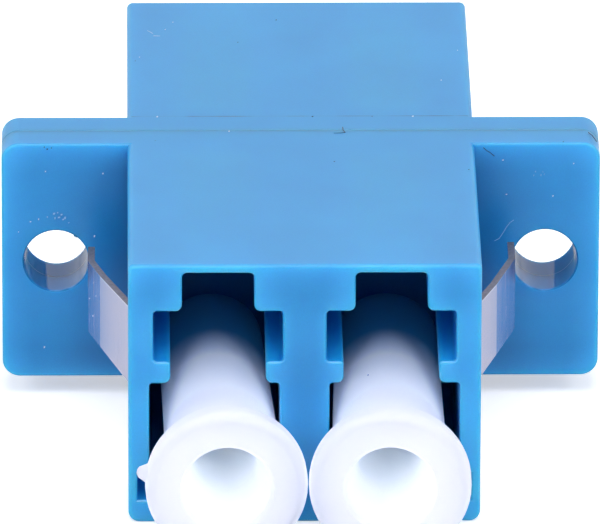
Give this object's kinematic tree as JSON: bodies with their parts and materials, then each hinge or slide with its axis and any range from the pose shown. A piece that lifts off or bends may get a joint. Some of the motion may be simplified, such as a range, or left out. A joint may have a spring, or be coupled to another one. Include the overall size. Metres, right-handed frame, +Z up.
{
  "type": "duplex fibre adapter",
  "caption": "Duplex fibre adapter with a two-eared flange, latch keyways, a sprung panel clip and pull-off dust caps.",
  "frame": {"origin": "on the flat underside, midway across the body, in the weld plane at the middle of the flange", "axes": "+Z up, front ports and their caps face -Y, rear ports face +Y, +X runs across the ports to the right seen from the front"},
  "size_m": [0.022, 0.0345, 0.0101],
  "materials": {
    "housing_plastic": "satin moulded, blue",
    "clip_steel": "bright rolled stainless spring sheet",
    "sleeve_ceramic": "polished white ceramic",
    "cap_plastic": "soft milky white, slightly waxy"
  },
  "bodies": {
    "housing": {"housing_front": "housing_plastic", "housing_rear": "housing_plastic", "panel_clip": "clip_steel", "sleeve_left": "sleeve_ceramic", "sleeve_right": "sleeve_ceramic"},
    "cap_front_left": {"dust_cap_front_left": "cap_plastic"},
    "cap_front_right": {"dust_cap_front_right": "cap_plastic"},
    "cap_rear_left": {"dust_cap_rear_left": "cap_plastic"},
    "cap_rear_right": {"dust_cap_rear_right": "cap_plastic"}
  },
  "joints": [
    {"name": "cap_front_left_pull", "type": "slide", "parent": "housing", "child": "cap_front_left", "axis": [0, -1, 0], "range_m": [0, 0.014]},
    {"name": "cap_front_right_pull", "type": "slide", "parent": "housing", "child": "cap_front_right", "axis": [0, -1, 0], "range_m": [0, 0.014]},
    {"name": "cap_rear_left_pull", "type": "slide", "parent": "housing", "child": "cap_rear_left", "axis": [0, 1, 0], "range_m": [0, 0.014]},
    {"name": "cap_rear_right_pull", "type": "slide", "parent": "housing", "child": "cap_rear_right", "axis": [0, 1, 0], "range_m": [0, 0.014]}
  ]
}
